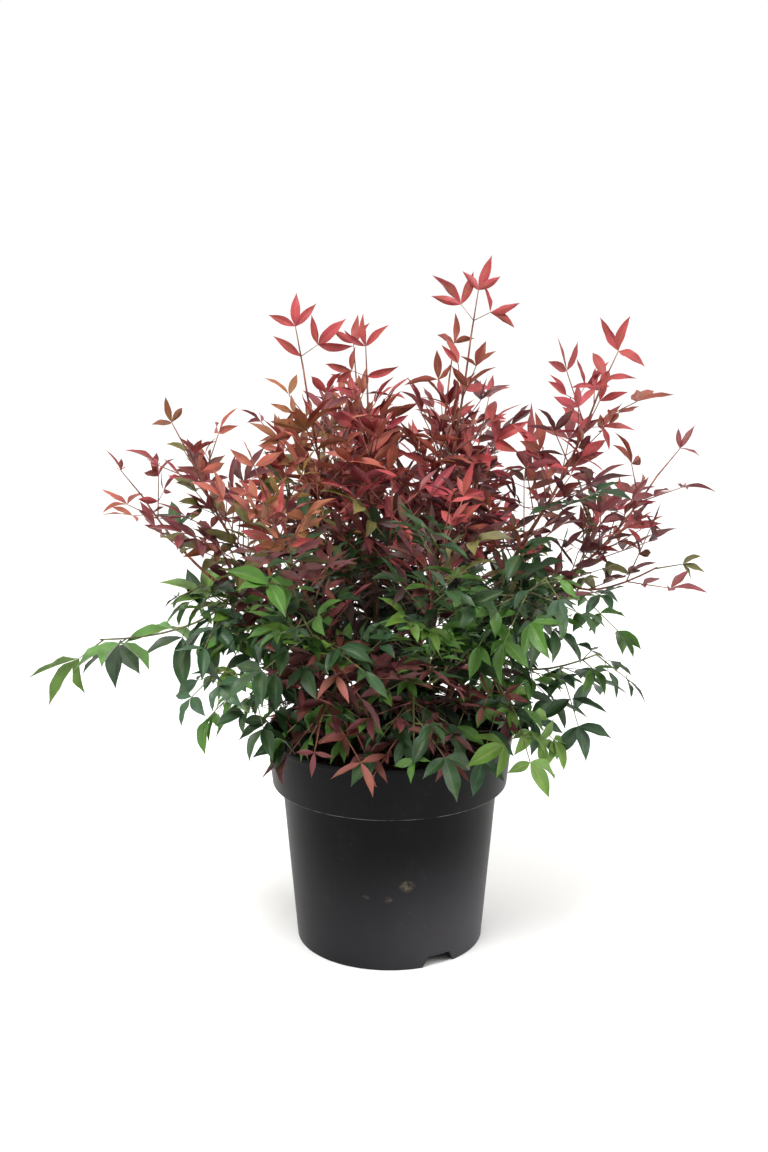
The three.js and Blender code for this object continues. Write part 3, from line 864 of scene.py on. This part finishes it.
def leaflet(root, direction, face, length, tint, mass, draw):
    """One leaflet: its place, the way it points and faces, and how it is bent."""
    age = age_of(tint)
    droop = varied(draw, age.droop, 0.3)
    direction = unit(direction - UP * droop + aside(draw, 0.6))
    up = face + age.levelling * UP + 0.4 * mass.out + aside(draw, 1.3)
    up = unit(up - direction * direction.dot(up))
    width = length * varied(draw, age.width, 0.08)
    leaves.append(
        Named(
            root=root, direction=direction, face=up, length=length, width=width, tint=tint, mass=mass.name,
            curl=varied(draw, *age.curl), fold=varied(draw, 0.5, 0.5), twist=varied(draw, 0, 1.2),
            wave=varied(draw, 0.225, 0.25), phase=6.28 * draw(),
        )
    )


def sprig(root, direction, face, length, tint, mass, draw):
    """A stalk that ends in three leaflets, the middle one as far out as length."""
    share, fallen = 0.34, 0.08
    node = root + direction * share * length
    twigs[age_of(tint).twig].add(*rings_along([root - direction, node + direction], [0.5, 0.38], 3))
    side = np.cross(face, direction)
    opened = 48 + 18 * draw()
    leaflet(node, direction, face, (1 - share) * length, tint, mass, draw)
    for sign in (1, -1):
        if draw() < fallen:
            continue
        turn = math.radians(sign * varied(draw, opened, 10))
        aimed = direction * math.cos(turn) + side * math.sin(turn)
        leaflet(node, aimed, face, length * (0.45 + 0.15 * draw()), tint, mass, draw)


def pinna(bud, mass, habit, draw, scale=1.0):
    """A pinna in its bud's plane: a rachis with leaflets or sprigs in facing pairs, and three at its end."""
    ends_mass = bud.span is not None
    if ends_mass:
        reach = np.linalg.norm(bud.span)
        direction = bud.span / reach
        roll = mass.roll + mass.facing
    else:
        across_stem = rotated(across(bud.forward, mass.out), bud.forward, bud.turn)
        turn = math.radians(bud.spread)
        direction = bud.forward * math.cos(turn) + across_stem * math.sin(turn)
        direction = unit(direction + UP * (bud.lift - habit.fall))
        reach = (bud.rachis + habit.leaflet) * scale
        roll = bud.roll
    side = rotated(across(direction, mass.out), direction, roll)
    face = np.cross(direction, side)
    sag = 0 if ends_mass else habit.sag

    def place(x, y):
        point = bud.at + direction * x + side * y + face * habit.cup * abs(y)
        return point - UP * sag * x * x / reach

    def aim(x, degrees):
        step = 0.5
        turn = math.radians(degrees)
        return unit(place(x + step * math.cos(turn), step * math.sin(turn)) - place(x, 0))

    tint = tint_at(place(reach * 0.7, 0), draw)
    age = age_of(tint)
    blade = habit.blade * varied(draw, 0.95, 0.35) * math.sqrt(min(scale, 1))
    if ends_mass:
        blade = min(1.15 * blade, habit.last_blade * reach)
    opened = habit.open * age.opening
    rachis = reach - blade
    line = [place(x, 0) for x in np.linspace(-1, rachis, 5)]
    twigs[age.twig].add(*rings_along(line, np.linspace(0.95 if ends_mass else 0.75, 0.5, 5), 5))
    leaflet(place(rachis, 0), aim(rachis, 0), face, blade, tint, mass, draw)
    shortest, fallen = 0.3 * habit.spacing, 0.05
    for i, x in enumerate(np.arange(rachis, shortest, -habit.spacing)):
        branching = 0 if i == 0 else 0.4 if ends_mass else habit.branching
        size = blade * (1.25 if ends_mass and i == 1 else 1)
        for sign in (1, -1):
            aimed = aim(x, sign * varied(draw, opened, 20))
            if draw() < branching:
                sprig(place(x, 0), aimed, face, size * varied(draw, 1.35, 0.3), tint, mass, draw)
            elif draw() < 1 - fallen:
                leaflet(place(x, 0), aimed, face, size * varied(draw, 0.9, 0.4), tint, mass, draw)


def buds_of(mass):
    """Buds face each other at every station along the stem, turned further round it each time."""
    habit, draw = mass.habit, mass.draw
    buds = []
    for i, t in enumerate(habit.stations):
        turn = varied(draw, mass.roll + habit.twist * (i - 0.5), 30)
        for sign in (1, -1):
            spread = sign * habit.spread * varied(draw, 1, 0.3)
            rachis = habit.rachis * varied(draw, 1, 0.4)
            roll = varied(draw, 0, 40)
            buds.append(
                Named(at=mass.stem.at(t), forward=mass.stem.heading(t), turn=turn, spread=spread,
                      rachis=rachis, roll=roll, lift=0, span=None)
            )
    last = mass.stem.at(stem.last_bud)
    return [*buds, Named(at=last, span=mass.tip - last)]


def finer_buds(curve, t, turn, habit, draw):
    """One more pair of buds, at the share t of a limb, turned about it."""
    turn = varied(draw, turn, 50)
    for sign in (1, -1):
        spread = sign * habit.spread * varied(draw, 1.15, 0.6)
        rachis = habit.rachis * varied(draw, 0.9, 0.6)
        yield Named(
            at=curve.at(t), forward=curve.heading(t), turn=turn, spread=spread, rachis=rachis,
            roll=varied(draw, 0, 70), lift=habit.lift, span=None,
        )


for number, mass in enumerate(masses):
    draw = seeded(2000 + number)
    for bud in buds_of(mass):
        pinna(bud, mass, mass.habit, draw)
    for t, size in mass.habit.between.items():
        for bud in finer_buds(mass.stem, t, 90 + 137 * t, mass.habit, draw):
            if t <= mass.bare:
                pinna(bud, mass, mass.habit, draw, size)
    line = [mass.stem.at(t) for t in np.linspace(-0.01, 1, 9)]
    thick = np.linspace(1.7 if mass.cane else 1.4, 0.9, 9)
    mass.twig = "red" if mass.height > red_stems_above else "green"
    twigs[mass.twig].add(*rings_along(line, thick, 7))

# Older leaves grow from the sides of the canes: they rise in the crown, and hang lower down. Where a stem
# has no finer growth at all, its cane is bare too beyond a share of its length.
side_stations = [0.1, 0.17, 0.24, 0.31, 0.39, 0.49, 0.6, 0.69, 0.78, 0.88, 0.98]
crown_foot, widest_hanging, bare_cane_beyond = 400, 120, 0.55
for number, mass in enumerate(bearers):
    draw = seeded(3000 + number)
    for i, t in enumerate(side_stations):
        x, y, z = mass.cane.at(t)
        rises = z > crown_foot or math.hypot(x, y) > widest_hanging
        habit, size = (filling, 1.0 if z > crown_foot else 0.7) if rises else (hanging, 0.78)
        for bud in finer_buds(mass.cane, t, 90 + 97 * i, habit, draw):
            if mass.bare > 0 or t < bare_cane_beyond:
                pinna(bud, mass, habit, draw, size)

# ---------------------------------------------------------------- the leaflets
# Leathery leaflets, lance-shaped and drawn out to a point. Each is folded a little along its midrib, arched
# back and waved at its edge. Red ones are young and slender, green ones older and broader.


def blades(leaves, steps=9, columns=5):
    """Points and faces of all these leaflets. Each has rows of points across it, and one at either end."""

    def each(key):
        return np.array([getattr(leaf, key) for leaf in leaves], float)

    root, direction, face = each("root"), each("direction"), each("face")
    length, width, fold = each("length")[:, None], each("width")[:, None], each("fold")[:, None]
    curl, twist = each("curl")[:, None], each("twist")[:, None]
    wave, phase = each("wave")[:, None], each("phase")[:, None]
    side = np.cross(face, direction)
    u = np.linspace(0, 1, steps + 1)
    middle = (u[1:] + u[:-1]) / 2
    bend = curl * middle**1.3
    forward = np.concatenate([np.zeros((len(leaves), 1)), np.cumsum(np.cos(bend), 1)], 1) / steps * length
    down = np.concatenate([np.zeros((len(leaves), 1)), np.cumsum(np.sin(bend), 1)], 1) / steps * length
    spine = root[:, None] + forward[..., None] * direction[:, None] - down[..., None] * face[:, None]
    angle = curl * u**1.3
    up = np.sin(angle)[..., None] * direction[:, None] + np.cos(angle)[..., None] * face[:, None]
    turn = (twist * u)[..., None]
    over = np.cos(turn) * side[:, None] + np.sin(turn) * up
    up = np.cos(turn) * up - np.sin(turn) * side[:, None]
    outline = u**1.1 * (1 - u) ** 1.4
    half = width / 2 * outline / outline.max()
    rows = []
    for v in np.linspace(-1, 1, columns):
        ripple = wave * np.sin(14 * u + phase) * v * 0.5
        lift = half * (fold * abs(v) + ripple)
        rows.append(spine + (half * v)[..., None] * over + lift[..., None] * up)
    grid = np.stack(rows, 2)[:, 1:-1].reshape(len(leaves), -1, 3)
    points = np.concatenate([spine[:, :1], grid, spine[:, -1:]], 1)
    base, tip = 0, points.shape[1] - 1
    faces = [(base, v + 2, v + 1) for v in range(columns - 1)]
    for row in range(steps - 2):
        for v in range(columns - 1):
            a = 1 + columns * row + v
            faces += [(a, a + 1, a + columns + 1), (a, a + columns + 1, a + columns)]
    last = 1 + columns * (steps - 2)
    faces += [(tip, last + v, last + v + 1) for v in range(columns - 1)]
    across_blade = np.array([0.5, *np.tile(np.linspace(0, 1, columns), steps - 1), 0.5])
    along_blade = np.array([0, *np.repeat(u[1:-1], columns), 1])
    return points, np.array(faces), np.stack([across_blade, along_blade], 1)


def has_room(points):
    """A leaflet is dropped if it would touch the pot or the compost, or leave the plant's reach."""
    clear, wall_depth, lowest = 1.5, 12, 60
    low, high = (np.array(corner) * METRE for corner in cad_box)
    spare = 0.02 * (high - low) + 6
    inside = np.all((points > low - spare) & (points < high + spare), axis=(1, 2))
    radius, z = np.hypot(points[..., 0], points[..., 1]), points[..., 2]
    near_wall = (radius < pot_radius_at(z) + clear) & (radius > pot.rim_radius - pot.wall - wall_depth)
    in_wall = (z < pot.height + clear) & near_wall
    in_compost = (z < compost.top + clear) & (radius < pot.rim_radius)
    return inside & ~np.any(in_wall | in_compost, axis=1) & (z.min(1) > lowest)


# The colour that a blade ages to, for each material slot.
aged = {
    "foliage_red": paint(116, 84, 42),
    "foliage_bronze": paint(124, 104, 48),
    "foliage_green": paint(66, 84, 34),
}


def leaf_finish(name, aged_colour, colour, vein_colour, gloss):
    """A blade's surface: mottled, with a paler midrib and faint side veins that run out towards the tip."""
    finish = Finish(name)
    blade = finish.node("ShaderNodeTexCoord", {}, {}, "UV")
    across_blade = finish.node("ShaderNodeSeparateXYZ", {}, {"Vector": blade}, "X")
    along_blade = finish.node("ShaderNodeSeparateXYZ", {}, {"Vector": blade}, "Y")
    off_midrib = (across_blade - 0.5).distance() * 2
    midrib = off_midrib.between(0.16, 0.04)
    veins = (along_blade - 0.35 * off_midrib).maths("PINGPONG", along_blade - 0.35 * off_midrib, 0.055)
    side_veins = (veins / 0.055).between(0.72, 0.95) * off_midrib.between(0.95, 0.5)
    mottle, fleck = finish.noise(34, 3), finish.noise(3.5, 4)
    dark = tuple(0.7 * c for c in colour[:3]) + (1.0,)
    pale = tuple(min(1.0, 1.22 * c + 0.008) for c in colour[:3]) + (1.0,)
    shade = finish.mix(mottle.between(0.3, 0.7), dark, pale)
    # Here and there a blade has aged, from its midrib outwards.
    ageing = finish.noise(24, 3).between(0.46, 0.66) * off_midrib.between(1.05, 0.1)
    shade = finish.mix(ageing * 0.45, shade, aged_colour)
    shade = finish.mix(fleck.between(0.6, 0.75) * 0.3, shade, vein_colour)
    shade = finish.mix(midrib * 0.3 + side_veins * 0.1, shade, vein_colour)
    relief = finish.bump(side_veins * 0.25 + midrib * 0.5 + fleck * 0.3, 0.3)
    return finish.cover(shade, gloss + 0.12 * fleck, relief, Specular_IOR_Level=0.4)


# Each tint with its material slot, its colour, the colour of its veins and its roughness.
tints = {
    "crimson": ("foliage_red", paint(152, 52, 56), paint(194, 94, 82), 0.46),
    "brick": ("foliage_red", paint(144, 68, 54), paint(192, 114, 80), 0.48),
    "burgundy": ("foliage_red", paint(116, 46, 52), paint(160, 82, 74), 0.44),
    "wine": ("foliage_red", paint(88, 38, 44), paint(128, 66, 62), 0.44),
    "rose": ("foliage_red", paint(152, 52, 64), paint(190, 94, 88), 0.46),
    "maroon": ("foliage_red", paint(106, 48, 52), paint(140, 82, 72), 0.5),
    "plum": ("foliage_red", paint(84, 38, 42), paint(118, 68, 60), 0.5),
    "salmon": ("foliage_red", paint(132, 70, 62), paint(162, 102, 76), 0.5),
    # Umber is a turning tint, and also painted shade inside the foliage.
    "umber": ("foliage_red", paint(56, 28, 26), paint(84, 46, 40), 0.5),
    "copper": ("foliage_bronze", paint(132, 74, 46), paint(172, 112, 60), 0.46),
    "ochre": ("foliage_bronze", paint(128, 96, 44), paint(168, 134, 62), 0.46),
    "olive": ("foliage_bronze", paint(92, 88, 42), paint(134, 122, 60), 0.46),
    # Painted shade: the darkest green, dealt inside the foliage where shade falls.
    "moss": ("foliage_green", paint(26, 42, 22), paint(52, 70, 34), 0.42),
    "ivy": ("foliage_green", paint(36, 66, 32), paint(78, 110, 50), 0.36),
    "spruce": ("foliage_green", paint(40, 72, 44), paint(80, 112, 62), 0.36),
    "fern": ("foliage_green", paint(74, 118, 44), paint(126, 154, 60), 0.38),
    "lime": ("foliage_green", paint(88, 124, 40), paint(138, 156, 62), 0.42),
}
for tint, (slot, *look) in tints.items():
    own = [leaf for leaf in leaves if leaf.tint == tint]
    points, faces, layout = blades(own)
    kept = has_room(points)
    points = points[kept]
    count = points.shape[1]
    all_faces = (faces[None] + count * np.arange(len(points))[:, None, None]).reshape(-1, 3)
    surface = leaf_finish(f"leaf_{tint}", aged[slot], *look)
    made = piece(f"leaflets_{tint}", points.reshape(-1, 3), all_faces, surface)
    made.data.uv_layers.new(name="blade").data.foreach_set("uv", layout[all_faces.ravel() % count].ravel())
    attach(made, "root")
    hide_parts(*sorted({leaf.mass for leaf, keep in zip(own, kept) if keep}))

# ---------------------------------------------------------------- the twigs
# The wiry stalks of the sprays, red-brown and smooth in the young crown and olive green below. They hold the
# leaflets well apart.


def twig_finish(name, dark, pale):
    finish = Finish(name)
    shade = finish.noise(12, 4)
    colour = finish.mix(shade.between(0.35, 0.65), dark, pale)
    return finish.cover(colour, 0.5 + 0.15 * shade, finish.bump(finish.noise(0.8, 3), 0.15))


twig_colours = {
    "red": (paint(84, 38, 34), paint(140, 82, 62)),
    "green": (paint(62, 58, 34), paint(112, 116, 66)),
}
for kind, bundle in twigs.items():
    surface = twig_finish(f"twig_{kind}", *twig_colours[kind])
    made = piece(f"twigs_{kind}", np.concatenate(bundle.points), bundle.faces, surface)
    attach(made, "root")
    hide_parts(*[mass.name for mass in masses if mass.twig == kind])

bpy.context.view_layer.update()
